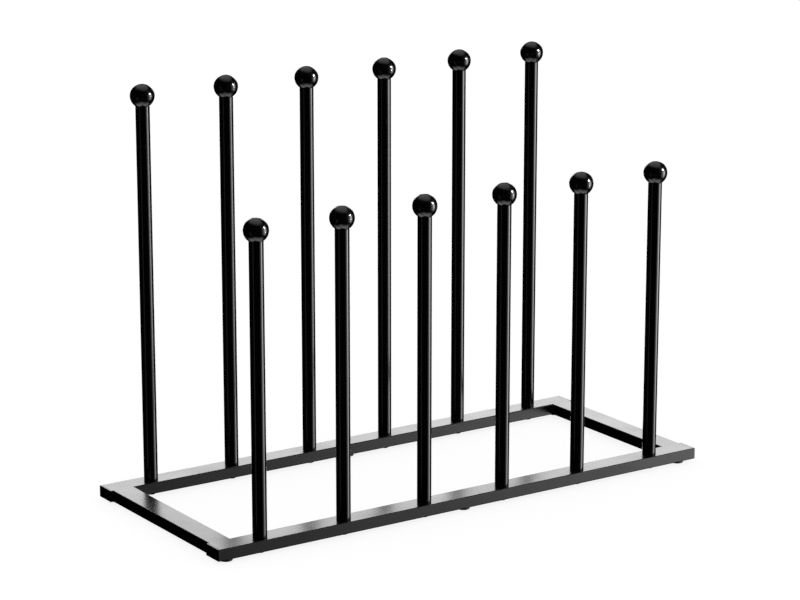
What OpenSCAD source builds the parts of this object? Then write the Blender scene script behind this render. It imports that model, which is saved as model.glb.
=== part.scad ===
// A rack for shoes and boots, which are pushed upside down over its upright posts.
// A flat base of rectangular tube carries a tall row of posts at the back and a short row
// at the front, each post held by one bolt from beneath and closed by a ball cap.
// X runs along the rails, the short row is at -Y, and the feet stand on Z = 0.

/* [Base frame] */
// Length of each rail's tube, without its end plugs
rail_length = 605; // [450:5:900]
// Depth of the base over both rails
base_depth = 250; // [180:5:400]

/* [Rectangular tube] */
// Width of the tube, seen from above
tube_w = 25; // [22:0.5:40]
// Height of the tube
tube_h = 12.5; // [11:0.5:25]
// Wall of the tube
tube_wall = 1.2; // [0.8:0.1:2]
// Radius of the tube's outer corners
tube_corner_r = 1; // [0.5:0.1:1.5]

/* [Posts] */
// Number of posts in each row, even so that a gap is over the middle foot
post_count = 6; // [4:2:8]
// From the end of the rail's tube to the axis of the outermost post
post_margin = 52.5; // [40:0.5:90]
// Outer diameter of the posts
post_d = 15; // [13:0.5:20]
// Wall of the posts
post_wall = 1.2; // [0.8:0.1:2]
// Length of the posts in the back row
tall_post_length = 405; // [200:5:600]
// Length of the posts in the front row
short_post_length = 305; // [150:5:500]

/* [Ball caps] */
// Diameter of the ball
ball_d = 26; // [22:0.5:40]
// Length of the spigot that goes into the post
spigot_length = 14; // [10:0.5:25]
// Depth of the spigot's barbs, measured on the radius
spigot_barb = 0.8; // [0.4:0.1:1.2]
// Number of barbs along the spigot
spigot_barb_count = 3; // [2:1:4]
// Diameter of the core hole that keeps the moulding's walls even
ball_core_d = 6; // [3:0.5:7]
// Length of the slot that lets the spigot spring
spigot_slot_length = 9; // [5:0.5:9.5]
// Width of that slot
spigot_slot_w = 1.6; // [1:0.1:3]

/* [End plugs] */
// Thickness of the flange outside the tube
plug_flange_t = 3; // [2:0.1:6]
// Bevel round the flange's outer face
plug_bevel = 0.6; // [0.3:0.1:1.5]
// Depth of the plug inside the tube
plug_depth = 7.5; // [5:0.1:7.8]
// Wall of the plug's hollow shank
plug_wall = 1.4; // [1:0.1:2]
// Height of the fins that grip the tube
plug_fin_h = 0.9; // [0.5:0.1:1.2]
// Number of fins along the shank
plug_fin_count = 2; // [1:1:3]

/* [Feet] */
// Diameter of the foot's pad
foot_d = 14; // [11:0.5:18]
// Height of the pad
foot_h = 4.2; // [4:0.1:8]
// Bevel round the foot's lower edge
foot_bevel = 0.5; // [0.2:0.1:1.5]
// Diameter of the hole in the rail that the foot's barb snaps into
foot_hole_d = 8; // [6:0.5:9]
// How far the barb catches behind the hole's edge, on the radius
foot_barb_catch = 0.4; // [0.2:0.1:0.8]
// Height of the barb above its catch
foot_barb_h = 4; // [3:0.1:5]
// Width of the slot that lets the barb spring
foot_slot_w = 1.6; // [1:0.1:3]

/* [Bolts and inserts] */
// Thread diameter of the bolts
bolt_d = 6; // [5:1:8]
// Length of the bolt under its head
bolt_length = 30; // [24:1:34]
// Diameter of the bolt's pan head
head_d = 10.5; // [9:0.1:14]
// Height of the bolt's pan head
head_h = 3.9; // [2.5:0.1:3.9]
// Diameter of the flat on top of the pan head
head_flat_d = 5.5; // [4:0.1:7]
// Height of the upright rim of the pan head
head_rim_h = 0.8; // [0.4:0.1:1.5]
// Length of the threaded insert in the post's lower end
insert_length = 22; // [18:1:30]
// Depth of the insert's grip grooves
insert_groove = 0.5; // [0.2:0.1:1]
// Number of grip grooves round the insert
insert_groove_count = 3; // [1:1:4]
// Bevel at the ends of the bolts and inserts
end_bevel = 0.8; // [0.3:0.1:1.2]

/* [Welds] */
// Leg of the weld in the base frame's upright inner corners
fillet_leg = 2; // [1:0.1:3]
// Width of the bead under each butt joint
bead_w = 5; // [3:0.1:7]
// Height of that bead
bead_h = 1.1; // [0.5:0.1:1.5]

/* [Clearances] */
// Play of the bolt in the rail's holes, on the diameter
bolt_play = 0.5; // [0.2:0.1:1]
// Play between the bolt and its insert, on the diameter
thread_play = 0.2; // [0.1:0.05:0.4]
// Gap all round the insert inside the post
insert_gap = 0.1; // [0.05:0.05:0.3]
// Gap all round the spigot's barbs inside the post
spigot_gap = 0.1; // [0.05:0.05:0.3]
// Gap all round the plug's fins inside the rail
plug_gap = 0.1; // [0.05:0.05:0.3]
// Gap all round the foot's stem in its hole, and over the rail's wall
foot_gap = 0.15; // [0.05:0.05:0.3]
// Gap between a weld's root and the tube's rounded corner
weld_gap = 0.02; // [0.01:0.01:0.05]

/* [Hidden] */
$fn = 64;
corner_steps = 5;
dome_steps = 8;
bead_steps = 6;
overcut = 1;

coated_steel = "#1b1c1e";
moulded_black = "#121214";
dark_zinc = "#2b2c2f";
bare_steel = "#9a9ca0";

rail_y = (base_depth - tube_w) / 2;
rail_bottom = foot_h;
rail_top = rail_bottom + tube_h;
rail_middle = rail_bottom + tube_h / 2;
inner_w = tube_w - 2 * tube_wall;
inner_h = tube_h - 2 * tube_wall;
inner_corner_r = max(tube_corner_r - tube_wall, 0.2);
end_bar_x = (rail_length - tube_w) / 2;
end_bar_length = base_depth - 2 * tube_w;
foot_places = [-end_bar_x, 0, end_bar_x];

post_pitch = (rail_length - 2 * post_margin) / (post_count - 1);
post_inner_d = post_d - 2 * post_wall;
seat_drop = sqrt(pow(ball_d / 2, 2) - pow(post_d / 2, 2));
bolt_hole_d = bolt_d + bolt_play;
back = 1;
front = -1;

function post_x(i) = (i - (post_count + 1) / 2) * post_pitch;

// Points of a rectangle about the origin with rounded corners
function rounded_outline(w, h, r) = [
    for (corner = [0:3], step = [0:corner_steps])
        let (
            angle = 90 * (corner + step / corner_steps),
            side_x = corner == 0 || corner == 3 ? 1 : -1,
            side_y = corner < 2 ? 1 : -1
        )
        [side_x * (w / 2 - r) + r * cos(angle), side_y * (h / 2 - r) + r * sin(angle)]
];

// Section of the rectangular tube, width along X and height along Y
module tube_section() {
    difference() {
        polygon(rounded_outline(tube_w, tube_h, tube_corner_r));
        polygon(rounded_outline(inner_w, inner_h, inner_corner_r));
    }
}

// Thin plate across the X axis, from x to x + t
module cross_plate(x, t, w, h, r) {
    translate([x, 0, 0])
        rotate([90, 0, 90])
            linear_extrude(t)
                polygon(rounded_outline(w, h, r));
}

// One long tube of the base, with its bolt holes right through and its foot holes below
module rail(side) {
    color(coated_steel)
        translate([0, side * rail_y, rail_bottom])
            difference() {
                translate([0, 0, tube_h / 2])
                    rotate([90, 0, 90])
                        linear_extrude(rail_length, center = true)
                            tube_section();
                for (i = [1:post_count])
                    translate([post_x(i), 0, -overcut])
                        cylinder(d = bolt_hole_d, h = tube_h + 2 * overcut);
                for (x = foot_places)
                    translate([x, 0, -overcut])
                        cylinder(d = foot_hole_d, h = tube_wall + 2 * overcut);
            }
}

// One short tube between the rails, butted against their inner sides
module end_bar(side) {
    color(coated_steel)
        translate([side * end_bar_x, 0, rail_middle])
            rotate([90, 0, 0])
                linear_extrude(end_bar_length, center = true)
                    tube_section();
}

// Welds of one corner: ground flush on top, a fillet inside and a bead beneath.
// Local X runs along the joint from the base's inside to its outside, and local Y
// points from the end bar into the rail.
module corner_welds() {
    bead_length = tube_w - 2 * tube_corner_r;
    root = (sqrt(2) - 1) * sqrt(2) * tube_corner_r - weld_gap;
    root_points = [[0, 0], [root, 0], [0, -root]];
    fillet_h = tube_h - 2 * tube_corner_r;
    bead_r = (pow(bead_w / 2, 2) + pow(bead_h, 2)) / (2 * bead_h);
    bead_angle = asin(bead_w / 2 / bead_r);
    bead_points = [
        for (step = [-bead_steps:bead_steps])
            let (angle = bead_angle * step / bead_steps)
            [bead_r * sin(angle), bead_r * (cos(bead_angle) - cos(angle))]
    ];
    translate([tube_corner_r, 0, tube_h])
        rotate([90, 0, 90])
            linear_extrude(bead_length)
                polygon(root_points);
    translate([tube_corner_r, 0, 0])
        rotate([90, 0, 90])
            linear_extrude(bead_length)
                polygon(bead_points);
    translate([0, 0, tube_corner_r])
        linear_extrude(fillet_h)
            polygon([[0, 0], [-fillet_leg, 0], [0, -fillet_leg]]);
}

module frame_welds() {
    color(coated_steel)
        for (side_x = [0, 1], side_y = [0, 1])
            mirror([side_x, 0, 0])
                mirror([0, side_y, 0])
                    translate([end_bar_x - tube_w / 2, end_bar_length / 2, rail_bottom])
                        corner_welds();
}

// Moulded plug: a flange flush with the tube and a hollow finned shank inside it
module end_plug(side_x, side_y) {
    shank_w = inner_w - 2 * (plug_gap + plug_fin_h);
    shank_h = inner_h - 2 * (plug_gap + plug_fin_h);
    shank_r = 0.5;
    fin_pitch = plug_depth / (plug_fin_count + 0.5);
    fin_t = 0.3;
    fin_wedge = fin_pitch * 0.7;
    color(moulded_black)
        translate([side_x * rail_length / 2, side_y * rail_y, rail_middle])
            mirror([side_x < 0 ? 1 : 0, 0, 0])
                difference() {
                    union() {
                        hull() {
                            cross_plate(0, plug_flange_t - plug_bevel, tube_w, tube_h, tube_corner_r);
                            cross_plate(0, plug_flange_t, tube_w - 2 * plug_bevel,
                                tube_h - 2 * plug_bevel, tube_corner_r);
                        }
                        cross_plate(-plug_depth, plug_depth + overcut, shank_w, shank_h, shank_r);
                        for (fin = [1:plug_fin_count])
                            hull() {
                                cross_plate(-fin * fin_pitch, fin_t, inner_w - 2 * plug_gap,
                                    inner_h - 2 * plug_gap, shank_r);
                                cross_plate(-fin * fin_pitch - fin_wedge + fin_t, fin_t,
                                    shank_w, shank_h, shank_r);
                            }
                    }
                    cross_plate(-plug_depth - overcut, plug_depth + overcut,
                        shank_w - 2 * plug_wall, shank_h - 2 * plug_wall, shank_r);
                }
}

// Moulded foot: a flat pad below the rail and a split barb that snaps in its hole
module foot(x, side) {
    stem_r = foot_hole_d / 2 - foot_gap;
    catch_r = foot_hole_d / 2 + foot_barb_catch;
    catch_z = tube_wall + foot_gap;
    tip_r = stem_r - foot_barb_catch;
    barb_top = catch_z + foot_barb_h;
    color(moulded_black)
        translate([x, side * rail_y, rail_bottom])
            difference() {
                rotate_extrude()
                    polygon([
                        [0, -foot_h],
                        [foot_d / 2 - foot_bevel, -foot_h],
                        [foot_d / 2, foot_bevel - foot_h],
                        [foot_d / 2, 0],
                        [stem_r, 0],
                        [stem_r, catch_z],
                        [catch_r, catch_z],
                        [tip_r, barb_top],
                        [0, barb_top]
                    ]);
                translate([-catch_r - overcut, -foot_slot_w / 2, 0])
                    cube([2 * (catch_r + overcut), foot_slot_w, barb_top + overcut]);
            }
}

// Round tube, square at both ends
module post(i, side, length) {
    color(coated_steel)
        translate([post_x(i), side * rail_y, rail_top])
            difference() {
                cylinder(d = post_d, h = length);
                translate([0, 0, -overcut])
                    cylinder(d = post_inner_d, h = length + 2 * overcut);
            }
}

// Moulded ball: a flat seat as wide as the post, and a barbed and slotted hollow spigot
module ball_cap(i, side, length) {
    barb_r = post_inner_d / 2 - spigot_gap;
    spigot_r = barb_r - spigot_barb;
    barb_pitch = spigot_length / (spigot_barb_count + 0.5);
    color(moulded_black)
        translate([post_x(i), side * rail_y, rail_top + length])
            difference() {
                union() {
                    intersection() {
                        translate([0, 0, seat_drop])
                            sphere(d = ball_d);
                        translate([-ball_d, -ball_d, 0])
                            cube(2 * ball_d);
                    }
                    translate([0, 0, -spigot_length])
                        cylinder(r = spigot_r, h = spigot_length + overcut);
                    for (barb = [1:spigot_barb_count])
                        translate([0, 0, -(barb + 0.5) * barb_pitch])
                            cylinder(r1 = spigot_r, r2 = barb_r, h = barb_pitch * 0.7);
                }
                translate([0, 0, -spigot_length - overcut])
                    cylinder(d = ball_core_d, h = spigot_length + overcut + seat_drop);
                translate([-ball_d, -spigot_slot_w / 2, -spigot_length - overcut])
                    cube([2 * ball_d, spigot_slot_w, spigot_slot_length + overcut]);
            }
}

// Threaded slug pressed in the post's lower end, flush with its cut
module post_insert(i, side) {
    insert_r = post_inner_d / 2 - insert_gap;
    bore_r = (bolt_d + thread_play) / 2;
    groove_pitch = insert_length / (insert_groove_count + 1);
    groove_w = groove_pitch * 0.3;
    color(bare_steel)
        translate([post_x(i), side * rail_y, rail_top])
            rotate_extrude()
                difference() {
                    polygon([
                        [bore_r, 0],
                        [insert_r, 0],
                        [insert_r, insert_length - end_bevel],
                        [insert_r - end_bevel, insert_length],
                        [bore_r, insert_length]
                    ]);
                    for (groove = [1:insert_groove_count])
                        translate([insert_r - insert_groove, groove * groove_pitch - groove_w / 2])
                            square([insert_groove + overcut, groove_w]);
                }
}

// Pan-head bolt through both walls of the rail into the post's insert
module post_bolt() {
    dome = [
        for (step = [0:dome_steps])
            let (angle = 90 * step / dome_steps)
            [
                head_flat_d / 2 + (head_d - head_flat_d) / 2 * cos(angle),
                -head_rim_h - (head_h - head_rim_h) * sin(angle)
            ]
    ];
    rotate_extrude()
        polygon(concat(
            [[head_d / 2, 0]],
            dome,
            [
                [0, -head_h],
                [0, bolt_length],
                [bolt_d / 2 - end_bevel, bolt_length],
                [bolt_d / 2, bolt_length - end_bevel],
                [bolt_d / 2, 0]
            ]
        ));
}

module row_bolts(side) {
    color(dark_zinc)
        for (i = [1:post_count])
            translate([post_x(i), side * rail_y, rail_bottom])
                post_bolt();
}

rail(front);  // front_rail
rail(back);  // back_rail
end_bar(-1);  // left_end_bar
end_bar(1);  // right_end_bar
frame_welds();
end_plug(-1, front);  // front_left_plug
end_plug(1, front);  // front_right_plug
end_plug(-1, back);  // back_left_plug
end_plug(1, back);  // back_right_plug
foot(foot_places[0], front);  // front_left_foot
foot(foot_places[1], front);  // front_middle_foot
foot(foot_places[2], front);  // front_right_foot
foot(foot_places[0], back);  // back_left_foot
foot(foot_places[1], back);  // back_middle_foot
foot(foot_places[2], back);  // back_right_foot
for (i = [1:post_count]) {
    post(i, back, tall_post_length);
    post(i, front, short_post_length);
    ball_cap(i, back, tall_post_length);
    ball_cap(i, front, short_post_length);
    post_insert(i, back);
    post_insert(i, front);
}
row_bolts(back);  // tall_post_bolts
row_bolts(front);  // short_post_bolts
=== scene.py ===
"""A rack for shoes and boots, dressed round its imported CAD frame.

The tubes of the base and the inserts keep their CAD solids and get a finish. The posts, balls,
plugs, feet, bolts and welds are remade here with what a maker's tools leave on them. Everything is
in metres in the frame of the CAD part: rails along X, the short row at -Y, feet on Z = 0.
"""

import math

import bmesh
import bpy
from bpy.props import FloatProperty, FloatVectorProperty, IntProperty, PointerProperty
from mathutils import Matrix, Vector


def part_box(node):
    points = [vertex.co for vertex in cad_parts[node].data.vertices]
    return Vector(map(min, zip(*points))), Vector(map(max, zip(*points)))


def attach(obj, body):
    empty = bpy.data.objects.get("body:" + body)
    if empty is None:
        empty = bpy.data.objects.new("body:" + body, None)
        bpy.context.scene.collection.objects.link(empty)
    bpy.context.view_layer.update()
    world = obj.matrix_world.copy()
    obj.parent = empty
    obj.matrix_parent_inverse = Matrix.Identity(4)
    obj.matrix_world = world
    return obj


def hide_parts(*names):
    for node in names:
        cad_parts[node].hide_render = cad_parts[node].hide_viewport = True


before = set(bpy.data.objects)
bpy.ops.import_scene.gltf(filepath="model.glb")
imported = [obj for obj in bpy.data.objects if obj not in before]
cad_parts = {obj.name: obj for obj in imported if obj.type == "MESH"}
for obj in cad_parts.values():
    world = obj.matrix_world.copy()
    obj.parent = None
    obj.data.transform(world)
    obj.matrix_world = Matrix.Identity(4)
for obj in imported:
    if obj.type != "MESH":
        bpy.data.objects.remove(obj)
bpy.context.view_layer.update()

bl_info = {
    "name": "Shoe rack",
    "version": (1, 0, 0),
    "blender": (4, 5, 0),
    "location": "View3D > Sidebar > Shoe rack",
    "description": "Dresses the CAD frame of a shoe rack, piece by piece",
    "category": "Object",
}

MM = 0.001
BODY = "root"
ROWS = ("tall", "short")
POST_COUNT = 6
TUBES = ("front_rail", "back_rail", "left_end_bar", "right_end_bar")
PLUGS = tuple(f"{row}_{end}_plug" for row in ("front", "back") for end in ("left", "right"))
FEET = tuple(f"{row}_{place}_foot" for row in ("front", "back") for place in ("left", "middle", "right"))
SHARP_ANGLE = math.radians(24)
PLAY = 0.1 * MM
THREAD_DEPTH = 0.55 * MM
THREAD_START = 2.2 * MM
PLAIN_TIP = 1.0 * MM

# The photo's camera, fitted to the rack's edges, posts and balls
CAMERA_PLACE = (-1.6185, -2.4017, 0.94)
CAMERA_SIDE = (-33.898, 14.28)
CAMERA_LENS = 125.75
CAMERA_SENSOR = 36
CAMERA_RANGE = (0.05, 60)


def linear(hex_colour):
    """Linear RGBA of an sRGB colour written as six hex digits."""
    levels = [int(hex_colour[i:i + 2], 16) / 255 for i in (0, 2, 4)]
    return tuple(v / 12.92 if v <= 0.04045 else ((v + 0.055) / 1.055) ** 2.4 for v in levels) + (1.0,)


def extent(node):
    """Size of a CAD node along X, Y and Z."""
    low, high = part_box(node)
    return high - low


def middle_of(node):
    low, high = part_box(node)
    return (low + high) / 2


def numbered(kind):
    """The twelve nodes of one kind, the tall row's first."""
    return [f"{row}_{kind}_{i}" for row in ROWS for i in range(1, POST_COUNT + 1)]


# What a user would change


def length(name, description, millimetres):
    return FloatProperty(name=name, description=description, default=millimetres * MM, min=0.0,
                         precision=5, subtype="DISTANCE", unit="LENGTH")


def colour(name, description, hex_colour):
    return FloatVectorProperty(name=name, description=description, default=linear(hex_colour), size=4,
                               min=0.0, max=1.0, subtype="COLOR")


def level(name, description, radiance):
    return FloatProperty(name=name, description=description, default=radiance, min=0.0)


class RackSizes(bpy.types.PropertyGroup):
    """Sizes of the remade pieces that the CAD frame's boxes don't tell"""

    post_wall: length("Post wall", "Wall of the round posts", 1.2)
    post_edge: length("Post edge", "Rounding of the posts' deburred ends", 0.2)
    post_sides: IntProperty(name="Post sides", description="Faces round each post", default=96, min=24)
    ball_seat: length("Ball seat height", "From the post's end up to the ball's middle", 10.618)
    ball_ridge: length("Parting ridge", "Height of the ridge where the ball's mould parts", 0.06)
    spigot_depth: length("Spigot length", "How far the ball's spigot goes into the post", 14.0)
    plug_flange: length("Plug flange", "Thickness of the end plugs' flange", 3.0)
    plug_edge: length("Plug edge", "Rounding of the flange's outer edge", 0.6)
    foot_height: length("Foot height", "Height of the foot's pad", 4.2)
    foot_groove: length("Foot groove", "Depth of the grip grooves under the foot", 0.35)
    bolt_diameter: length("Bolt diameter", "Thread diameter of the bolts", 6.0)
    bolt_length: length("Bolt length", "Length of the bolts under their heads", 30.0)
    thread_pitch: length("Thread pitch", "Rise of the bolts' thread in one turn", 1.0)
    bead_width: length("Bead width", "Width of the weld beads under the base", 5.0)
    bead_height: length("Bead height", "Height of the weld beads under the base", 1.1)
    fillet_leg: length("Fillet leg", "Leg of the welds in the base's inner corners", 2.0)
    ripple_pitch: length("Ripple pitch", "Distance between the ripples of a weld", 1.1)
    ripple_height: length("Ripple height", "Height of the ripples of a weld", 0.16)


class RackColours(bpy.types.PropertyGroup):
    """Colours of the finishes"""

    enamel: colour("Enamel", "Stove enamel on the base and the posts", "020202")
    enamel_worn: colour("Enamel, handled", "The enamel where hands have dulled it", "050505")
    moulding: colour("Moulding", "Plastic of the balls and end plugs", "020202")
    moulding_pale: colour("Moulding, swirled", "The plastic where its pigment thins", "060606")
    sole: colour("Foot", "Plastic of the feet", "0a0a0b")
    sole_scuffed: colour("Foot, scuffed", "The feet where the floor has rubbed them", "1d1d1e")
    zinc: colour("Black zinc", "Plating of the bolts", "2a2b30")
    zinc_sheen: colour("Black zinc, sheen", "The plating where its film is thinner", "3b3836")
    steel: colour("Turned steel", "Bare steel of the inserts", "b4b3b0")
    steel_dark: colour("Turned steel, oiled", "The steel where cutting oil has dried", "7b7873")


class StudioLevels(bpy.types.PropertyGroup):
    """Brightness of what the rack's gloss mirrors, where 1 is the white of the background"""

    strip: level("Strip", "The tall softbox on the right", 10.5)
    spill: level("Strip spill", "What the tall softbox spills towards the front", 1.9)
    lamp: level("Small lamp", "The lamp behind the balls' white spot", 420.0)
    back: level("Back panel", "The panel that the top faces mirror", 3.35)
    rear: level("Rear strip", "The low strip behind, which the posts mirror seen from there", 3.5)
    card: level("Left card", "The faint card on the left", 0.25)
    ceiling: level("Ceiling", "The opening overhead", 1.0)
    under: level("Panel below", "The panel below, which only the balls mirror", 1.75)


# Meshes and trees


def add_node(tree, kind, inputs=None, **settings):
    """Adds a node to a tree, sets it up, and gives each of its inputs a value or a link."""
    node = tree.nodes.new(kind)
    for name, value in settings.items():
        setattr(node, name, value)
    for name, value in (inputs or {}).items():
        if isinstance(value, bpy.types.NodeSocket):
            tree.links.new(value, node.inputs[name])
        else:
            node.inputs[name].default_value = value
    return node


def calc(tree, operation, *values):
    """What a Math node makes of values or sockets."""
    return add_node(tree, "ShaderNodeMath", dict(enumerate(values)), operation=operation).outputs[0]


def vector_calc(tree, operation, *values):
    """What a Vector Math node makes of values or sockets."""
    node = add_node(tree, "ShaderNodeVectorMath", dict(enumerate(values)), operation=operation)
    return node.outputs["Value" if operation in ("LENGTH", "DOT_PRODUCT") else "Vector"]


def new_object(name, mesh):
    obj = bpy.data.objects.new(name, mesh)
    bpy.context.collection.objects.link(obj)
    return obj


def mesh_of(name, points, faces):
    """A closed mesh with its faces outward."""
    bm = bmesh.new()
    verts = [bm.verts.new(point) for point in points]
    for face in faces:
        bm.faces.new([verts[i] for i in face])
    bmesh.ops.recalc_face_normals(bm, faces=bm.faces)
    mesh = bpy.data.meshes.new(name)
    bm.to_mesh(mesh)
    bm.free()
    return mesh


def shells(bm):
    """The faces of each separate closed shell of a mesh."""
    left = set(bm.faces)
    while left:
        shell, edge_of_search = [], [left.pop()]
        while edge_of_search:
            face = edge_of_search.pop()
            shell.append(face)
            for edge in face.edges:
                for other in edge.link_faces:
                    if other in left:
                        left.remove(other)
                        edge_of_search.append(other)
        yield shell


def turn_outward(bm):
    """Turns each closed shell so that the space inside it counts as positive."""
    bmesh.ops.recalc_face_normals(bm, faces=bm.faces)
    for shell in shells(bm):
        inside = sum(face.calc_center_median().dot(face.normal) * face.calc_area() for face in shell)
        if inside < 0:
            bmesh.ops.reverse_faces(bm, faces=shell)


def evaluated_mesh(obj):
    """Plain mesh of what an object's modifiers make."""
    bpy.context.view_layer.update()
    return bpy.data.meshes.new_from_object(obj.evaluated_get(bpy.context.evaluated_depsgraph_get()))


def soften(obj):
    """Faces outward and smooth, with an edge kept sharp where two faces turn by more than the
    sharp angle. Elsewhere the larger face leads, so that a long wall shades as a true cylinder or
    flat up to the small rounding at its end."""
    bm = bmesh.new()
    bm.from_mesh(obj.data)
    turn_outward(bm)
    for face in bm.faces:
        face.smooth = True
    for edge in bm.edges:
        edge.smooth = len(edge.link_faces) == 2 and edge.calc_face_angle(math.pi) < SHARP_ANGLE
    bm.to_mesh(obj.data)
    bm.free()
    lead = obj.modifiers.new("larger faces lead", "WEIGHTED_NORMAL")
    lead.keep_sharp = True
    lead.weight = 90
    shaded = evaluated_mesh(obj)
    obj.modifiers.remove(lead)
    obj.data = shaded


def arc(middle, radius, start, end, steps):
    """Points of an arc, angles in degrees from the radius axis. The radius may be a pair."""
    across, up = radius if isinstance(radius, tuple) else (radius, radius)
    angles = [math.radians(start + (end - start) * i / steps) for i in range(steps + 1)]
    return [(middle[0] + across * math.cos(a), middle[1] + up * math.sin(a)) for a in angles]


def turned(name, outline, sides, centre):
    """Mesh of a closed outline of points (radius, height), turned round an upright axis through
    the centre. A point on the axis becomes a pole."""
    points, rings, faces = [], [], []
    for radius, height in outline:
        count = sides if radius > 1e-9 else 1
        rings.append(range(len(points), len(points) + count))
        for i in range(count):
            angle = math.tau * i / sides
            points.append((centre[0] + radius * math.cos(angle), centre[1] + radius * math.sin(angle),
                           centre[2] + height))
    for low, high in zip(rings, rings[1:] + rings[:1]):
        if len(low) == len(high) == 1:
            continue
        for i in range(sides):
            j = (i + 1) % sides
            corners = [low[i % len(low)], low[j % len(low)], high[j % len(high)], high[i % len(high)]]
            faces.append(list(dict.fromkeys(corners)))
    return mesh_of(name, points, faces)


def rounded_outline(width, height, radius, steps=5):
    """Points of a rectangle about the origin with rounded corners."""
    points = []
    for corner, (side_x, side_y) in enumerate(((1, 1), (-1, 1), (-1, -1), (1, -1))):
        middle = (side_x * (width / 2 - radius), side_y * (height / 2 - radius))
        points += arc(middle, radius, 90 * corner, 90 * corner + 90, steps)
    return points


def lofted(name, sections, centre, way):
    """Mesh skinned over sections (along, width, height, corner radius) that stand across X. Local
    +X points along the way, and the first and last sections are closed."""
    points, faces = [], []
    for along, width, height, radius in sections:
        points += [(centre[0] + way * along, centre[1] + y, centre[2] + z)
                   for y, z in rounded_outline(width, height, radius)]
    count = len(points) // len(sections)
    for s in range(len(sections) - 1):
        for i in range(count):
            j = (i + 1) % count
            faces.append((s * count + i, s * count + j, (s + 1) * count + j, (s + 1) * count + i))
    faces.append(tuple(range(count)))
    faces.append(tuple(range(len(points) - count, len(points))))
    return mesh_of(name, points, faces)


def tapered_block(name, middle, top, bottom, low, high):
    """Mesh of a block whose ends, half sizes (x, y), differ. It is made to cut with."""
    points = [(middle[0] + sx * half[0], middle[1] + sy * half[1], z)
              for half, z in ((bottom, low), (top, high))
              for sx, sy in ((-1, -1), (1, -1), (1, 1), (-1, 1))]
    faces = [(0, 1, 2, 3), (4, 5, 6, 7)] + [(i, (i + 1) % 4, (i + 1) % 4 + 4, i + 4) for i in range(4)]
    return mesh_of(name, points, faces)


def cut(obj, cutter_mesh):
    """Takes one mesh out of a piece."""
    cutter = new_object("cutter", cutter_mesh)
    modifier = obj.modifiers.new("cut", "BOOLEAN")
    modifier.operation = "DIFFERENCE"
    modifier.solver = "EXACT"
    modifier.object = cutter
    shaped = evaluated_mesh(obj)
    obj.modifiers.remove(modifier)
    bpy.data.objects.remove(cutter)
    obj.data = shaped


def start_tree(name, **inputs):
    """A Geometry Nodes tree with the named inputs of each kind, and their sockets."""
    tree = bpy.data.node_groups.new(name, "GeometryNodeTree")
    tree.is_modifier = True
    for kind, labels in {"Geometry": ["Geometry"], **inputs}.items():
        for label in labels:
            tree.interface.new_socket(label, in_out="INPUT", socket_type="NodeSocket" + kind)
    tree.interface.new_socket("Geometry", in_out="OUTPUT", socket_type="NodeSocketGeometry")
    return tree, add_node(tree, "NodeGroupInput").outputs


def end_tree(tree, geometry, material):
    whole = add_node(tree, "GeometryNodeRealizeInstances", {"Geometry": geometry})
    painted = add_node(tree, "GeometryNodeSetMaterial", {
        "Geometry": whole.outputs["Geometry"], "Material": material,
    })
    add_node(tree, "NodeGroupOutput", {"Geometry": painted.outputs["Geometry"]})


def grow(name, tree, values, start=None):
    """Runs a tree on a start mesh, or on an empty one, and keeps the result as a plain mesh."""
    source = new_object(name, start or bpy.data.meshes.new(name))
    modifier = source.modifiers.new("make", "NODES")
    modifier.node_group = tree
    items = tree.interface.items_tree
    sockets = {item.name: item.identifier for item in items if item.in_out == "INPUT"}
    for label, value in values.items():
        modifier[sockets[label]] = value
    made = evaluated_mesh(source)
    source.modifiers.remove(modifier)
    bpy.data.objects.remove(source)
    if not made.polygons:
        raise RuntimeError(f"the tree for {name} made no faces")
    made.name = name
    return new_object(name, made)


def paint(obj, material):
    """Gives an object one material, on the object, so that a CAD mesh's own slot stays."""
    if not obj.material_slots:
        obj.data.materials.append(material)
    for slot in obj.material_slots:
        slot.link = "OBJECT"
        slot.material = material


def seat(piece, slot, material, *nodes):
    """A finished piece takes the place of its CAD nodes and moves with the rack."""
    soften(piece)
    paint(piece, material)
    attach(piece, BODY)
    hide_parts(*nodes)


# Finishes


def new_material(name):
    """A material with an empty tree, and that tree."""
    material = bpy.data.materials.get(name) or bpy.data.materials.new(name)
    material.use_nodes = True
    material.node_tree.nodes.clear()
    return material, material.node_tree


def new_finish(name):
    """A new material and its tree, the place on the piece, and the colours of all finishes."""
    material, tree = new_material(name)
    place = add_node(tree, "ShaderNodeTexCoord").outputs["Object"]
    return material, tree, place, bpy.context.scene.rack_colours


def noise(tree, place, size_mm, detail=2.0, stretch=(1, 1, 1)):
    """Noise whose waves are size_mm long, or longer where stretch is below 1."""
    scaled = add_node(tree, "ShaderNodeMapping", {"Vector": place, "Scale": stretch})
    return add_node(tree, "ShaderNodeTexNoise", {
        "Vector": scaled.outputs["Vector"], "Scale": 1 / (size_mm * MM), "Detail": detail,
        "Roughness": 0.5,
    }).outputs["Fac"]


def skin(tree, colours, drift, roughness, height, distance_mm, **shader_values):
    """Ends a material: the drift moves its colour and roughness, and the height makes its skin."""
    base = add_node(tree, "ShaderNodeMix", {"Factor": drift, "A": colours[0], "B": colours[1]},
                    data_type="RGBA")
    gloss = add_node(tree, "ShaderNodeMapRange", {
        "Value": drift, "From Min": 0.3, "From Max": 0.7, "To Min": roughness[0], "To Max": roughness[1],
    })
    bump = add_node(tree, "ShaderNodeBump", {
        "Height": height, "Distance": distance_mm * MM, "Strength": 1.0,
    })
    inputs = {"Base Color": base.outputs["Result"], "Roughness": gloss.outputs["Result"],
              "Normal": bump.outputs["Normal"]}
    inputs.update(shader_values)
    shader = add_node(tree, "ShaderNodeBsdfPrincipled", inputs)
    add_node(tree, "ShaderNodeOutputMaterial", {"Surface": shader.outputs["BSDF"]})


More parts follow.
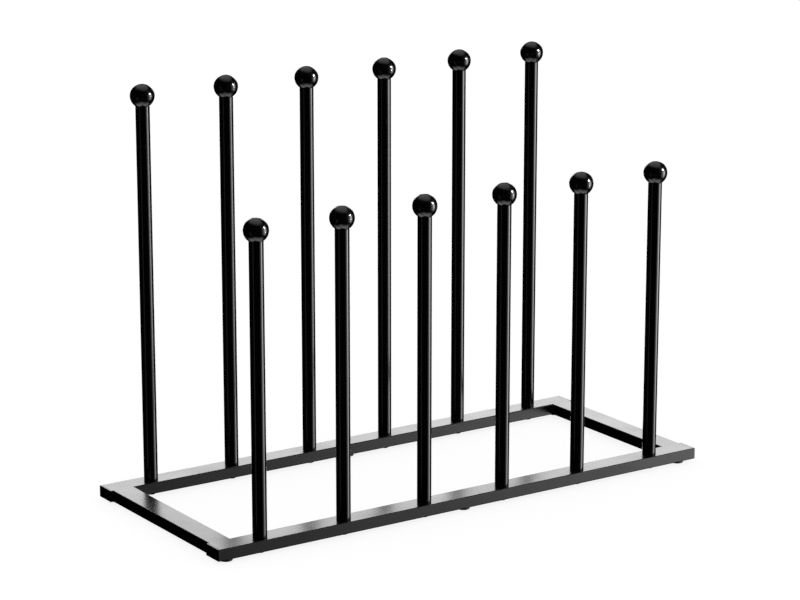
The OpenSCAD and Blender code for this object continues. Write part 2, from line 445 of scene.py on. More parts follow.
def stove_enamel(name, roughness, peel_mm, peel_height_mm, stretch):
    """Black stove enamel on steel tube: deep gloss that is a little dulled in clouds by handling,
    over a skin that flowed out before it set. The waves are the peel, 3 mm on flats, and longer
    along a drawn post, whose draw marks the coat follows."""
    material, tree, place, colours = new_finish(name)
    clouds = noise(tree, place, 45, detail=3.0)
    peel = noise(tree, place, peel_mm, detail=1.0, stretch=stretch)
    skin(tree, (colours.enamel, colours.enamel_worn), clouds, roughness, peel, peel_height_mm, IOR=1.5)
    return material


def moulded_gloss(name, roughness, swirl_mm):
    """Polypropylene moulded in a polished tool: gloss, with faint swirls where the melt met, and
    skin that sank by a few thousandths of a millimetre as it cooled."""
    material, tree, place, colours = new_finish(name)
    swirl = add_node(tree, "ShaderNodeTexNoise", {
        "Vector": place, "Scale": 1 / (swirl_mm * MM), "Detail": 3.0, "Distortion": 1.2,
    }).outputs["Fac"]
    sink = noise(tree, place, 5, detail=1.0)
    skin(tree, (colours.moulding, colours.moulding_pale), swirl, roughness, sink, 0.003, IOR=1.49)
    return material


def moulded_satin(name):
    """Polyethylene moulded in a spark-eroded tool: satin, with a fine even grain. The real grain is
    about 0.1 mm, too fine to show, so it is drawn at 0.35 mm. The scuffs come from the floor."""
    material, tree, place, colours = new_finish(name)
    scuffs = noise(tree, place, 4, detail=4.0)
    grain = noise(tree, place, 0.35, detail=2.0)
    skin(tree, (colours.sole, colours.sole_scuffed), scuffs, (0.42, 0.55), grain, 0.02, IOR=1.51)
    return material


def black_zinc(name):
    """Zinc plate with a black passivated film on rolled steel: a dark metal whose film is uneven,
    so that it turns from blue-black to brown in patches of a few millimetres."""
    material, tree, place, colours = new_finish(name)
    patches = noise(tree, place, 3, detail=4.0)
    grain = noise(tree, place, 0.3, detail=2.0)
    skin(tree, (colours.zinc, colours.zinc_sheen), patches, (0.3, 0.42), grain, 0.008, Metallic=1.0)
    return material


def turned_steel(name):
    """Free-cutting steel off the lathe: bright rings round the axis where the tool fed by 0.15 mm a
    turn, drawn at 0.3 mm so that they show, with a film of dried oil in patches."""
    material, tree, place, colours = new_finish(name)
    oil = noise(tree, place, 6, detail=3.0)
    rings = noise(tree, place, 0.3, detail=0.0, stretch=(0.01, 0.01, 1))
    skin(tree, (colours.steel, colours.steel_dark), oil, (0.26, 0.38), rings, 0.02, Metallic=1.0)
    return material


# Studio


def fade(tree, value, start, end):
    """1 up to the start, 0 from the end on, and smooth between them."""
    return add_node(tree, "ShaderNodeMapRange", {
        "Value": value, "From Min": start, "From Max": end, "To Min": 1.0, "To Max": 0.0,
    }, interpolation_type="SMOOTHSTEP").outputs["Result"]


def lit_cloth(name, radiance, soft):
    """A softbox's cloth: even light that falls off towards its four edges, over a share of its half
    width and of its half height. Its back is dark."""
    material, tree = new_material(name)
    place = add_node(tree, "ShaderNodeTexCoord").outputs["Object"]
    axes = add_node(tree, "ShaderNodeSeparateXYZ", {"Vector": place}).outputs
    across, up = (fade(tree, calc(tree, "ABSOLUTE", axes[axis]), 1 - share, 1.0)
                  for axis, share in zip("XY", soft))
    back = add_node(tree, "ShaderNodeNewGeometry").outputs["Backfacing"]
    lit = calc(tree, "MULTIPLY", calc(tree, "MULTIPLY", across, up), calc(tree, "SUBTRACT", 1.0, back))
    light = add_node(tree, "ShaderNodeEmission", {"Strength": calc(tree, "MULTIPLY", lit, radiance)})
    add_node(tree, "ShaderNodeOutputMaterial", {"Surface": light.outputs["Emission"]})
    return material


def plane(name, half):
    points = [(-half, -half, 0), (half, -half, 0), (half, half, 0), (-half, half, 0)]
    mesh = bpy.data.meshes.new(name)
    mesh.from_pydata(points, [], [(0, 1, 2, 3)])
    return new_object(name, mesh)


def outward(azimuth, elevation):
    """Unit vector from the rack towards a side. Azimuth 0 is in front, at -Y, and 90 at +X."""
    a, e = math.radians(azimuth), math.radians(elevation)
    return Vector((math.sin(a) * math.cos(e), -math.cos(a) * math.cos(e), math.sin(e)))


def ball_group():
    """The group of the balls, for the panels that light nothing else."""
    return bpy.data.collections.get("balls") or bpy.data.collections.new("balls")


def softbox(name, radiance, side, away, size, soft):
    """A light panel that faces the middle of the rack from a side, so far away. Only the rack's gloss
    sees it, and the even light of the world lights everything else."""
    rack_middle = Vector((0, 0, 0.2))
    half_turn = Matrix.Rotation(math.pi, 3, "Y").to_quaternion()
    out = outward(*side)
    panel = plane(name, 1)
    panel.rotation_mode = "QUATERNION"
    panel.rotation_quaternion = out.to_track_quat("Z", "Y") @ half_turn
    panel.location = rack_middle + out * away
    panel.scale = (size[0] / 2, size[1] / 2, 1)
    paint(panel, lit_cloth(name, radiance, soft))
    panel.visible_camera = False
    panel.visible_diffuse = False
    panel.visible_shadow = False
    return panel


def make_camera(scene):
    data = bpy.data.cameras.new("camera")
    data.sensor_width = CAMERA_SENSOR
    data.lens = CAMERA_LENS
    data.clip_start, data.clip_end = CAMERA_RANGE
    camera = new_object("camera", data)
    camera.location = CAMERA_PLACE
    camera.rotation_mode = "QUATERNION"
    camera.rotation_quaternion = outward(*CAMERA_SIDE).to_track_quat("Z", "Y")
    scene.camera = camera


def make_floor():
    """White paper. Part of its white is its own light to the camera, so that it meets the white
    behind it, and the rest takes the rack's soft shadow. The gloss doesn't mirror it, because the
    photo's gloss mirrors none. It is clear from below, where the underside is looked at."""
    half_width, own_light, paper_white = 20, 0.88, 0.13
    floor = plane("floor", half_width)
    material, tree = new_material("white_paper_sweep")
    rays = add_node(tree, "ShaderNodeLightPath")
    below = add_node(tree, "ShaderNodeNewGeometry").outputs["Backfacing"]
    own = calc(tree, "MULTIPLY", rays.outputs["Is Camera Ray"], own_light)
    paper = add_node(tree, "ShaderNodeBsdfDiffuse", {"Color": (paper_white, paper_white, paper_white, 1)})
    glow = add_node(tree, "ShaderNodeEmission", {"Strength": own})
    lit = add_node(tree, "ShaderNodeAddShader", {0: paper.outputs[0], 1: glow.outputs[0]})
    clear = add_node(tree, "ShaderNodeBsdfTransparent")
    side = add_node(tree, "ShaderNodeMixShader", {0: below, 1: lit.outputs[0], 2: clear.outputs[0]})
    add_node(tree, "ShaderNodeOutputMaterial", {"Surface": side.outputs[0]})
    paint(floor, material)
    floor.visible_glossy = False
    floor.visible_shadow = False


def opening(tree, way, middle, half):
    """How open the dark studio is towards a soft-edged oval overhead, given on a plane one metre up.
    The way's X and Y over its height are its place on that plane, and its Z is left out."""
    least_height, left_out = 0.02, 1.0e9
    height = add_node(tree, "ShaderNodeSeparateXYZ", {"Vector": way}).outputs["Z"]
    safe = calc(tree, "MAXIMUM", height, least_height)
    divisor = add_node(tree, "ShaderNodeCombineXYZ", {"X": safe, "Y": safe, "Z": left_out}).outputs[0]
    off = vector_calc(tree, "SUBTRACT", vector_calc(tree, "DIVIDE", way, divisor), (*middle, 0.0))
    reach = vector_calc(tree, "LENGTH", vector_calc(tree, "DIVIDE", off, (*half, 1.0)))
    return fade(tree, reach, 0.5, 1.5)


def make_world(scene, levels):
    """White all round, for the camera, the floor and the rack's own colours. The gloss of the rack
    sees the same white through an opening overhead in a dark studio."""
    world = bpy.data.worlds.new("studio")
    scene.world = world
    world.use_nodes = True
    world.cycles.sampling_method = "NONE"
    tree = world.node_tree
    tree.nodes.clear()
    rays = add_node(tree, "ShaderNodeLightPath")
    way = add_node(tree, "ShaderNodeTexCoord").outputs["Generated"]
    ceiling_middle, ceiling_half = (0.18, 0.35), (0.68, 0.93)
    above = opening(tree, way, ceiling_middle, ceiling_half)
    ceiling = calc(tree, "MULTIPLY", above, levels.ceiling)
    gloss = calc(tree, "MAXIMUM", rays.outputs["Is Glossy Ray"], rays.outputs["Is Transmission Ray"])
    seen = add_node(tree, "ShaderNodeMix", {"Factor": gloss, "A": 1.0, "B": ceiling},
                    data_type="FLOAT").outputs["Result"]
    light = add_node(tree, "ShaderNodeBackground", {"Color": (1, 1, 1, 1), "Strength": seen})
    add_node(tree, "ShaderNodeOutputWorld", {"Surface": light.outputs["Background"]})


def make_lamps(levels):
    """The panels that the gloss mirrors. Two light the balls alone. In the thin round edges of the
    rails the small lamp would be a row of white specks, and in the posts, seen from high above, the
    panel below would look like silver."""
    softbox("strip_softbox", levels.strip, side=(54.5, -2), away=4.0, size=(2.55, 5.4), soft=(0.98, 0.98))
    softbox("strip_spill", levels.spill, side=(40, -4), away=4.1, size=(3.4, 5.4), soft=(0.98, 0.98))
    lamp = softbox("small_lamp", levels.lamp, side=(48.5, 23.5), away=2.0, size=(0.26, 0.26),
                   soft=(0.5, 0.5))
    under = softbox("under_panel", levels.under, side=(0, -90), away=4.0, size=(7.8, 7.8),
                    soft=(0.67, 0.67))
    for panel in (lamp, under):
        panel.light_linking.receiver_collection = ball_group()
    softbox("back_panel", levels.back, side=(148, 14), away=4.0, size=(4.2, 1.9), soft=(0.4, 0.2))
    softbox("rear_strip", levels.rear, side=(146, -18), away=4.0, size=(1.4, 2.4), soft=(0.9, 0.5))
    softbox("left_card", levels.card, side=(-80, -15), away=3.0, size=(1.1, 2.6), soft=(0.9, 0.9))


class STAGE_OT_shoe_rack(bpy.types.Operator):
    """Lay the floor and set up the camera, the lamps and the world"""

    bl_idname = "shoe_rack.stage"
    bl_label = "Stage"

    def execute(self, context):
        scene = context.scene
        scene.view_settings.view_transform = "Standard"
        make_camera(scene)
        make_floor()
        make_world(scene, scene.rack_studio)
        make_lamps(scene.rack_studio)
        return {"FINISHED"}


# Pieces


class TUBES_OT_shoe_rack(bpy.types.Operator):
    """Enamel the rails and end bars"""

    bl_idname = "shoe_rack.tubes"
    bl_label = "Base tubes"

    def execute(self, context):
        enamel = stove_enamel("stove_enamelled_base_tube", (0.22, 0.28), 3.0, 0.0014, (1, 1, 1))
        for node in TUBES:
            paint(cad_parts[node], enamel)
        return {"FINISHED"}


def post_tree(material):
    """A round tube: a wall's section, its four edges rounded, swept round a circle."""
    tree, values = start_tree("drawn tube post", Float=["Outer Diameter", "Wall", "Length", "Edge"],
                              Int=["Sides"], Vector=["Base"])
    middle_d = calc(tree, "SUBTRACT", values["Outer Diameter"], values["Wall"])
    circle = add_node(tree, "GeometryNodeCurvePrimitiveCircle", {
        "Resolution": values["Sides"], "Radius": calc(tree, "MULTIPLY", middle_d, 0.5),
    })
    section = add_node(tree, "GeometryNodeCurvePrimitiveQuadrilateral", {
        "Width": values["Wall"], "Height": values["Length"],
    })
    rounded = add_node(tree, "GeometryNodeFilletCurve", {
        "Curve": section.outputs["Curve"], "Radius": values["Edge"], "Limit Radius": True, "Count": 3,
    }, mode="POLY")
    tube = add_node(tree, "GeometryNodeCurveToMesh", {
        "Curve": circle.outputs["Curve"], "Profile Curve": rounded.outputs["Curve"],
    })
    half = calc(tree, "MULTIPLY", values["Length"], 0.5)
    lift = add_node(tree, "ShaderNodeCombineXYZ", {"Z": half}).outputs[0]
    stood = add_node(tree, "GeometryNodeTransform", {
        "Geometry": tube.outputs["Mesh"], "Translation": vector_calc(tree, "ADD", values["Base"], lift),
    })
    end_tree(tree, stood.outputs["Geometry"], material)
    return tree


class POSTS_OT_shoe_rack(bpy.types.Operator):
    """Draw the twelve posts, with the deburred ends of cut tube"""

    bl_idname = "shoe_rack.posts"
    bl_label = "Posts"

    def execute(self, context):
        sizes = context.scene.rack_sizes
        enamel = stove_enamel("stove_enamelled_post", (0.12, 0.17), 3.0, 0.0012, (1, 1, 0.25))
        tree = post_tree(enamel)
        for node in numbered("post"):
            low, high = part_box(node)
            post = grow(f"enamelled_{node}", tree, {
                "Outer Diameter": high.x - low.x, "Wall": sizes.post_wall, "Length": high.z - low.z,
                "Edge": sizes.post_edge, "Sides": sizes.post_sides,
                "Base": ((low.x + high.x) / 2, (low.y + high.y) / 2, low.z),
            })
            seat(post, "post_coating", enamel, node)
        return {"FINISHED"}


def ball_outline(sizes, radius, post_inner):
    """Ball, seat and barbed hollow spigot, with heights from the post's end. The mould's parting
    ridge runs round the ball's middle."""
    core, barb_count, barb, barb_share = 3 * MM, 3, 0.8 * MM, 0.7
    depth, ridge, middle = sizes.spigot_depth, sizes.ball_ridge, sizes.ball_seat
    ridge_half, ridge_foot = 0.4 * ridge, 2.5 * ridge
    barb_r = post_inner / 2 - PLAY
    spigot_r = barb_r - barb
    pitch = depth / (barb_count + 0.5)
    skin_r = radius - ridge
    points = [(0, middle), (core, middle), (core, -depth), (spigot_r, -depth)]
    for i in range(barb_count, 0, -1):
        foot = -(i + 0.5) * pitch
        if foot > -depth + 1e-6:
            points.append((spigot_r, foot))
        points += [(barb_r, foot + barb_share * pitch), (spigot_r, foot + barb_share * pitch)]
    points.append((spigot_r, 0))
    below = -math.degrees(math.asin(middle / skin_r))
    gap = math.degrees(ridge_foot / skin_r)
    points += arc((0, middle), skin_r, below, -gap, 14)
    points += [(radius, middle - ridge_half), (radius, middle + ridge_half)]
    points += arc((0, middle), skin_r, gap, 90, 22)[:-1]
    points.append((0, middle + skin_r))
    return points


class BALLS_OT_shoe_rack(bpy.types.Operator):
    """Mould the twelve balls, with their parting ridge and barbed split spigots"""

    bl_idname = "shoe_rack.balls"
    bl_label = "Balls"

    def execute(self, context):
        sizes = context.scene.rack_sizes
        plastic = moulded_gloss("polished_moulded_ball", (0.14, 0.19), 9)
        slot_length, slot_half = 9 * MM, 0.8 * MM
        for node, post_node in zip(numbered("ball"), numbered("post")):
            post_low, post_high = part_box(post_node)
            radius = extent(node).x / 2
            post_inner = post_high.x - post_low.x - 2 * sizes.post_wall
            centre = middle_of(node)
            centre.z = post_high.z
            outline = ball_outline(sizes, radius, post_inner)
            ball = new_object(f"moulded_{node}", turned(node, outline, 72, centre))
            half = (radius, slot_half)
            low, high = centre.z - 2 * sizes.spigot_depth, centre.z - sizes.spigot_depth + slot_length
            cut(ball, tapered_block("slot", centre, half, half, low, high))
            seat(ball, "ball_plastic", plastic, node)
            ball_group().objects.link(ball)
        return {"FINISHED"}


def plug_sections(sizes, width, height):
    """End plug from the floor of its hollow shank, round the shank's open end, along its fins and
    up to the rounded edge of the flange. Local X is 0 at the tube's end."""
    wall, shank_wall, fin = 1.2 * MM, 1.4 * MM, 0.9 * MM
    shank_r, corner_r = 0.5 * MM, MM
    shank_end, fin_length, fin_tip = -7.8 * MM, 1.8 * MM, 0.3 * MM
    fin_w, fin_h = width - 2 * (wall + PLAY), height - 2 * (wall + PLAY)
    shank_w, shank_h = fin_w - 2 * fin, fin_h - 2 * fin
    hollow_w, hollow_h = shank_w - 2 * shank_wall, shank_h - 2 * shank_wall
    flange, edge = sizes.plug_flange, sizes.plug_edge
    rows = [(0, hollow_w, hollow_h, shank_r), (shank_end, hollow_w, hollow_h, shank_r)]
    for tip in (-6 * MM, -3 * MM):
        rows += [
            (tip - fin_length, shank_w, shank_h, shank_r), (tip, fin_w, fin_h, shank_r),
            (tip + fin_tip, fin_w, fin_h, shank_r), (tip + fin_tip, shank_w, shank_h, shank_r),
        ]
    rows += [(0, shank_w, shank_h, shank_r), (0, width, height, corner_r)]
    for inset, along in arc((0, flange - edge), edge, 0, 90, 4):
        back = 2 * (edge - inset)
        rows.append((along, width - back, height - back, corner_r - 0.5 * back))
    return rows


class PLUGS_OT_shoe_rack(bpy.types.Operator):
    """Mould the four end plugs, with their finned hollow shanks"""

    bl_idname = "shoe_rack.plugs"
    bl_label = "End plugs"

    def execute(self, context):
        sizes = context.scene.rack_sizes
        plastic = moulded_gloss("moulded_end_plug", (0.26, 0.34), 12)
        for node in PLUGS:
            low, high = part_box(node)
            way = 1 if low.x > 0 else -1
            outer = high.x if way > 0 else low.x
            centre = middle_of(node)
            centre.x = outer - way * sizes.plug_flange
            sections = plug_sections(sizes, high.y - low.y, high.z - low.z)
            plug = new_object(f"moulded_{node}", lofted(node, sections, centre, way))
            seat(plug, "plug_plastic", plastic, node)
        return {"FINISHED"}


def foot_outline(sizes, radius):
    """Foot pad with two grip grooves under it, and its barb, with heights from the rail's lower
    face."""
    pad, groove = sizes.foot_height, sizes.foot_groove
    stem, catch, tip = 3.85 * MM, 4.4 * MM, 3.45 * MM
    shelf, top = 1.35 * MM, 5.35 * MM
    groove_width, flank = MM, 0.15 * MM
    sole_edge, upper_edge = 0.5 * MM, 0.2 * MM
    points = [(0, -pad)]
    for inner in (1.7 * MM, 4.0 * MM):
        outer = inner + groove_width
        points += [(inner, -pad), (inner + flank, groove - pad)]
        points += [(outer - flank, groove - pad), (outer, -pad)]
    points += arc((radius - sole_edge, sole_edge - pad), sole_edge, -90, 0, 4)
    points += arc((radius - upper_edge, -upper_edge), upper_edge, 0, 90, 2)
    points += [(stem, 0), (stem, shelf), (catch, shelf), (tip, top), (0, top)]
    return points


class FEET_OT_shoe_rack(bpy.types.Operator):
    """Mould the six feet, with grip grooves below and a split barb above"""

    bl_idname = "shoe_rack.feet"
    bl_label = "Feet"

    def execute(self, context):
        sizes = context.scene.rack_sizes
        plastic = moulded_satin("satin_moulded_foot")
        slot_height, slot_half = 8 * MM, (6 * MM, 0.8 * MM)
        for node in FEET:
            low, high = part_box(node)
            centre = middle_of(node)
            centre.z = low.z + sizes.foot_height
            outline = foot_outline(sizes, (high.x - low.x) / 2)
            foot = new_object(f"moulded_{node}", turned(node, outline, 64, centre))
            slot = tapered_block("slot", centre, slot_half, slot_half, centre.z, centre.z + slot_height)
            cut(foot, slot)
            seat(foot, "foot_plastic", plastic, node)
        return {"FINISHED"}


def bolt_tree(material):
    """A row of bolts: the start mesh is one bolt without its thread. A ridge swept along a helix is
    the thread, which becomes one solid with it, and the bolt is set on the points of a line. The
    ridge is a little deeper than the thread, so that its foot lies inside the core."""
    ridge_share, middle_share, foot_share, crest_share = 1.2, 0.4, 0.9, 0.125
    lengths = ["Core Radius", "Thread Depth", "Pitch", "Thread Start", "Thread Length"]
    tree, values = start_tree("row of pan bolts", Float=lengths, Int=["Count"], Vector=["First", "Step"])
    turns = calc(tree, "DIVIDE", values["Thread Length"], values["Pitch"])
    helix = add_node(tree, "GeometryNodeCurveSpiral", {
        "Resolution": 24, "Rotations": turns, "Start Radius": values["Core Radius"],
        "End Radius": values["Core Radius"], "Height": values["Thread Length"], "Reverse": True,
    })
    level_helix = add_node(tree, "GeometryNodeSetCurveNormal", {"Curve": helix.outputs["Curve"]},
                           mode="Z_UP")
    ridge = add_node(tree, "GeometryNodeCurvePrimitiveQuadrilateral", {
        "Height": calc(tree, "MULTIPLY", values["Thread Depth"], ridge_share),
        "Bottom Width": calc(tree, "MULTIPLY", values["Pitch"], foot_share),
        "Top Width": calc(tree, "MULTIPLY", values["Pitch"], crest_share), "Offset": 0.0,
    }, mode="TRAPEZOID")
    out = calc(tree, "MULTIPLY", values["Thread Depth"], middle_share)
    out_way = add_node(tree, "ShaderNodeCombineXYZ", {"X": out})
    laid = add_node(tree, "GeometryNodeTransform", {
        "Geometry": ridge.outputs["Curve"], "Translation": out_way.outputs[0],
        "Rotation": (0, 0, -math.pi / 2),
    })
    thread = add_node(tree, "GeometryNodeCurveToMesh", {
        "Curve": level_helix.outputs["Curve"], "Profile Curve": laid.outputs["Geometry"],
        "Fill Caps": True,
    })
    up = add_node(tree, "ShaderNodeCombineXYZ", {"Z": values["Thread Start"]})
    raised = add_node(tree, "GeometryNodeTransform", {
        "Geometry": thread.outputs["Mesh"], "Translation": up.outputs[0],
    })
    bolt = add_node(tree, "GeometryNodeMeshBoolean", operation="UNION", solver="EXACT")
    tree.links.new(values["Geometry"], bolt.inputs["Mesh 2"])
    tree.links.new(raised.outputs["Geometry"], bolt.inputs["Mesh 2"])
    places = add_node(tree, "GeometryNodeMeshLine", {
        "Count": values["Count"], "Start Location": values["First"], "Offset": values["Step"],
    })
    row = add_node(tree, "GeometryNodeInstanceOnPoints", {
        "Points": places.outputs["Mesh"], "Instance": bolt.outputs["Mesh"],
    })
    end_tree(tree, row.outputs["Instances"], material)
    return tree


def bare_bolt(sizes, head_r, head_h):
    """One pan bolt without its thread, its head downward and its bearing face at height 0, with a
    cross recess whose four wings narrow as they go in."""
    shank, core = sizes.bolt_diameter / 2, sizes.bolt_diameter / 2 - THREAD_DEPTH
    tip, top, taper = 1.9 * MM, sizes.bolt_length, 0.8 * MM
    flat_r, rim, collar = 2.75 * MM, 0.8 * MM, 1.6 * MM
    outline = [(0, -head_h)] + arc((flat_r, -rim), (head_r - flat_r, head_h - rim), -90, 0, 10)
    outline += [(head_r, 0), (shank, 0), (shank, collar), (core, THREAD_START), (core, top - taper),
                (tip, top), (0, top)]
    bolt = new_object("bare_bolt", turned("bare_bolt", outline, 48, (0, 0, 0)))
    mouth, floor, wing, depth = 2.7 * MM, 1.5 * MM, 0.6 * MM, 2.2 * MM
    low, high = -head_h - MM, -head_h + depth
    at_mouth, at_floor = (mouth, wing), (floor, 0.8 * wing)
    for half_low, half_high in ((at_mouth, at_floor), (at_mouth[::-1], at_floor[::-1])):
        cut(bolt, tapered_block("wing", (0, 0, 0), half_high, half_low, low, high))
    mesh = bolt.data
    bpy.data.objects.remove(bolt)
    return mesh


class BOLTS_OT_shoe_rack(bpy.types.Operator):
    """Set the two rows of threaded pan bolts"""

    bl_idname = "shoe_rack.bolts"
    bl_label = "Bolts"

    def execute(self, context):
        sizes = context.scene.rack_sizes
        zinc = black_zinc("black_zinc_plated_bolt")
        tree = bolt_tree(zinc)
        for row in ROWS:
            node = f"{row}_post_bolts"
            low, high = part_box(node)
            first, last = middle_of(f"{row}_post_1"), middle_of(f"{row}_post_{POST_COUNT}")
            head_h = high.z - low.z - sizes.bolt_length
            first.z = low.z + head_h
            bolts = grow(f"threaded_{node}", tree, {
                "Core Radius": sizes.bolt_diameter / 2 - THREAD_DEPTH, "Thread Depth": THREAD_DEPTH,
                "Pitch": sizes.thread_pitch, "Thread Start": THREAD_START,
                "Thread Length": sizes.bolt_length - THREAD_START - PLAIN_TIP, "Count": POST_COUNT,
                "First": first, "Step": ((last.x - first.x) / (POST_COUNT - 1), 0, 0),
            }, bare_bolt(sizes, (high.y - low.y) / 2, head_h))
            seat(bolts, "bolt_zinc", zinc, node)
        return {"FINISHED"}


class INSERTS_OT_shoe_rack(bpy.types.Operator):
    """Give the threaded inserts in the posts the finish of turned steel"""

    bl_idname = "shoe_rack.inserts"
    bl_label = "Inserts"

    def execute(self, context):
        steel = turned_steel("lathe_turned_insert")
        for node in numbered("insert"):
            paint(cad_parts[node], steel)
        return {"FINISHED"}


def weld_tree(material):
    """One weld: the section, given as the start mesh, swept along a line. The ripples are crescents
    that trail towards the edges, and the section shrinks to about a fifth at both ends."""
    tree, values = start_tree("rippled weld", Float=["Ripple Pitch", "Ripple Height", "End Length"],
                              Vector=["Start", "End", "Crown"])
    unsteadiness, wave, seed = 1.2 * MM, 2.5 * MM, 4.0
    line = add_node(tree, "GeometryNodeCurvePrimitiveLine", {
        "Start": values["Start"], "End": values["End"],
    })
    fine = add_node(tree, "GeometryNodeResampleCurve", {"Curve": line.outputs["Curve"], "Count": 121})
    along = add_node(tree, "GeometryNodeSplineParameter").outputs["Length"]
    whole = add_node(tree, "GeometryNodeSplineLength").outputs["Length"]
    nearest_end = calc(tree, "MINIMUM", along, calc(tree, "SUBTRACT", whole, along))
    part = add_node(tree, "ShaderNodeMapRange", {
        "Value": nearest_end, "From Min": 0.0, "From Max": values["End Length"],
        "To Min": 0.05, "To Max": 1.0,
    }).outputs["Result"]
    stored = add_node(tree, "GeometryNodeStoreNamedAttribute", {
        "Geometry": fine.outputs["Curve"], "Name": "along", "Value": along,
    }, data_type="FLOAT", domain="POINT")
    section = add_node(tree, "GeometryNodeMeshToCurve", {"Mesh": values["Geometry"]})
    swept = add_node(tree, "GeometryNodeCurveToMesh", {
        "Curve": stored.outputs["Geometry"], "Profile Curve": section.outputs["Curve"],
        "Scale": calc(tree, "POWER", part, 0.5), "Fill Caps": True,
    })
    run = add_node(tree, "GeometryNodeInputNamedAttribute", {"Name": "along"}, data_type="FLOAT")
    place = add_node(tree, "GeometryNodeInputPosition").outputs[0]
    rise = vector_calc(tree, "DOT_PRODUCT", vector_calc(tree, "SUBTRACT", place, values["Start"]),
                       values["Crown"])
    unsteady = add_node(tree, "ShaderNodeTexNoise", {
        "Vector": place, "W": seed, "Scale": 1 / wave, "Detail": 1.0,
    }, noise_dimensions="4D").outputs["Fac"]
    swept_back = calc(tree, "ADD", rise, calc(tree, "MULTIPLY", unsteady, unsteadiness))
    trail = calc(tree, "SUBTRACT", run.outputs["Attribute"], swept_back)
    within = calc(tree, "FRACT", calc(tree, "DIVIDE", trail, values["Ripple Pitch"]))
    amount = calc(tree, "MULTIPLY", calc(tree, "POWER", within, 0.5), values["Ripple Height"])
    normal = add_node(tree, "GeometryNodeInputNormal").outputs["Normal"]
    move = add_node(tree, "ShaderNodeVectorMath", {
        0: normal, "Scale": calc(tree, "MULTIPLY", amount, -1.0),
    }, operation="SCALE")
    rippled = add_node(tree, "GeometryNodeSetPosition", {
        "Geometry": swept.outputs["Mesh"], "Offset": move.outputs["Vector"],
    })
    end_tree(tree, rippled.outputs["Geometry"], material)
    return tree


def section_mesh(name, points):
    """Closed outline as a mesh of edges, for a tree that sweeps it. It runs anticlockwise, so that
    the swept faces look outward."""
    mesh = bpy.data.meshes.new(name)
    count = len(points)
    area = sum(a[0] * b[1] - b[0] * a[1] for a, b in zip(points, points[1:] + points[:1]))
    if area < 0:
        points = points[::-1]
    mesh.from_pydata([(x, y, 0) for x, y in points], [(i, (i + 1) % count) for i in range(count)], [])
    return mesh


class WELDS_OT_shoe_rack(bpy.types.Operator):
    """Lay the welds of the base's four corners"""

    bl_idname = "shoe_rack.welds"
    bl_label = "Welds"

    def execute(self, context):
        sizes = context.scene.rack_sizes
        enamel = stove_enamel("stove_enamelled_weld", (0.22, 0.28), 2.0, 0.004, (1, 1, 1))
        tree = weld_tree(enamel)
        welds = []
        for bar in ("left_end_bar", "right_end_bar"):
            for side in (-1, 1):
                welds += corner_welds(tree, sizes, bar, side)
        meshes = bmesh.new()
        for weld in welds:
            meshes.from_mesh(weld.data)
            bpy.data.objects.remove(weld)
        joined = bpy.data.meshes.new("rippled_frame_welds")
        meshes.to_mesh(joined)
        meshes.free()
        seat(new_object("rippled_frame_welds", joined), "weld_coating", enamel, "frame_welds")
        return {"FINISHED"}


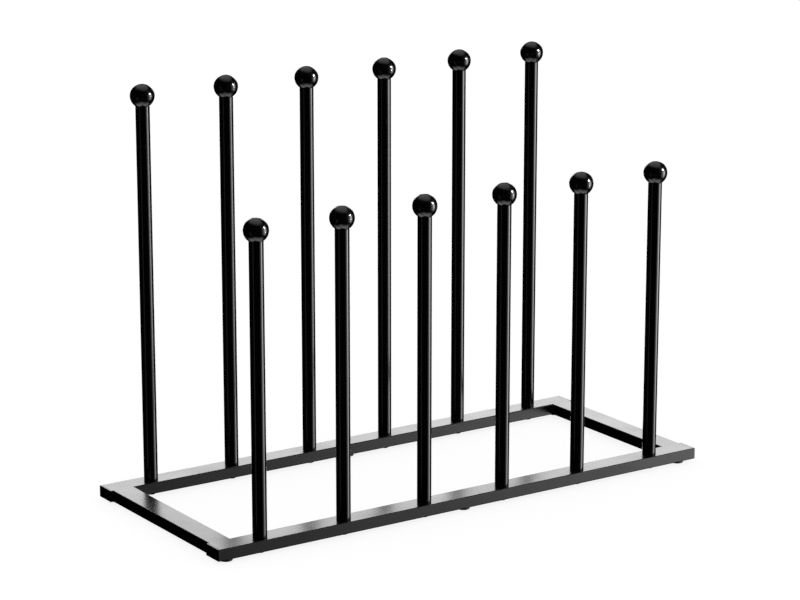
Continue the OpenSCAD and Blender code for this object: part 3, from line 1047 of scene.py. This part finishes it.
def corner_welds(tree, sizes, bar, side):
    """The root run on top, the bead beneath and the fillet inside one corner. The section's X comes
    out along -Y and its Y along -Z on a line along X, and unturned on an upright line. The root run
    fills the groove that the rail's rounded edge leaves, nearly flush, and the fillet is hollow."""
    low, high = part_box(bar)
    corner_r, leg = MM, sizes.fillet_leg
    inner, outer = (low.x, high.x) if low.x > 0 else (high.x, low.x)
    way = 1 if outer > inner else -1
    joint = side * (high.y - low.y) / 2
    first, last = sorted((inner + way * corner_r, outer - way * corner_r))
    overlap, flush, hollow = 0.3 * MM, 0.005 * MM, 0.36 * leg
    root_width, root_lean, root_depth = 1.05 * corner_r, 0.1 * MM, 0.7 * corner_r
    bead_trail, fillet_trail = 1.2, 0.8
    bead = arc((0, 0), (sizes.bead_width / 2, sizes.bead_height), 0, 180, 15) + [(0, -overlap)]
    root = [(side * overlap, flush), (-side * root_width, flush), (-side * root_lean, root_depth)]
    fillet = [(0, 0), (-way * leg, 0), (-way * hollow, -side * hollow), (0, -side * leg)]
    ripple = {"Ripple Pitch": sizes.ripple_pitch, "Ripple Height": sizes.ripple_height}
    beneath = grow("bead", tree, {
        "Start": (first, joint, low.z), "End": (last, joint, low.z), "End Length": 2.5 * MM,
        "Crown": (0, 0, -bead_trail), **ripple,
    }, section_mesh("bead", bead))
    above = grow("root", tree, {
        "Start": (first, joint, high.z), "End": (last, joint, high.z), "End Length": 0.01 * MM,
        "Crown": (0, 0, 0), "Ripple Pitch": 1.0, "Ripple Height": 0.0,
    }, section_mesh("root", root))
    upright = grow("fillet", tree, {
        "Start": (inner, joint, low.z + corner_r), "End": (inner, joint, high.z - corner_r),
        "End Length": 0.8 * MM, "Crown": (-way * fillet_trail, -side * fillet_trail, 0), **ripple,
    }, section_mesh("fillet", fillet))
    return [beneath, above, upright]


# Panel and registration


class VIEW3D_PT_shoe_rack(bpy.types.Panel):
    """Sizes, colours and studio levels of the rack, and a button for each piece"""

    bl_idname = "VIEW3D_PT_shoe_rack"
    bl_label = "Shoe rack"
    bl_space_type = "VIEW_3D"
    bl_region_type = "UI"
    bl_category = "Shoe rack"

    def draw(self, context):
        layout = self.layout
        for title in GROUPS:
            group = getattr(context.scene, title)
            box = layout.box()
            box.label(text=title.replace("_", " ").capitalize())
            for name in group.__annotations__:
                box.prop(group, name)
        for kind in OPERATORS:
            layout.operator(kind.bl_idname)


GROUPS = {"rack_sizes": RackSizes, "rack_colours": RackColours, "rack_studio": StudioLevels}
OPERATORS = (
    STAGE_OT_shoe_rack, TUBES_OT_shoe_rack, POSTS_OT_shoe_rack, BALLS_OT_shoe_rack, PLUGS_OT_shoe_rack,
    FEET_OT_shoe_rack, BOLTS_OT_shoe_rack, INSERTS_OT_shoe_rack, WELDS_OT_shoe_rack,
)
CLASSES = (*GROUPS.values(), *OPERATORS, VIEW3D_PT_shoe_rack)


def register():
    for kind in CLASSES:
        bpy.utils.register_class(kind)
    for name, kind in GROUPS.items():
        setattr(bpy.types.Scene, name, PointerProperty(type=kind))


def unregister():
    for name in GROUPS:
        delattr(bpy.types.Scene, name)
    for kind in reversed(CLASSES):
        bpy.utils.unregister_class(kind)


def main():
    register()
    bpy.ops.shoe_rack.stage()
    bpy.ops.shoe_rack.tubes()
    bpy.ops.shoe_rack.posts()
    bpy.ops.shoe_rack.balls()
    bpy.ops.shoe_rack.plugs()
    bpy.ops.shoe_rack.feet()
    bpy.ops.shoe_rack.bolts()
    bpy.ops.shoe_rack.inserts()
    bpy.ops.shoe_rack.welds()


if __name__ == "__main__":
    main()
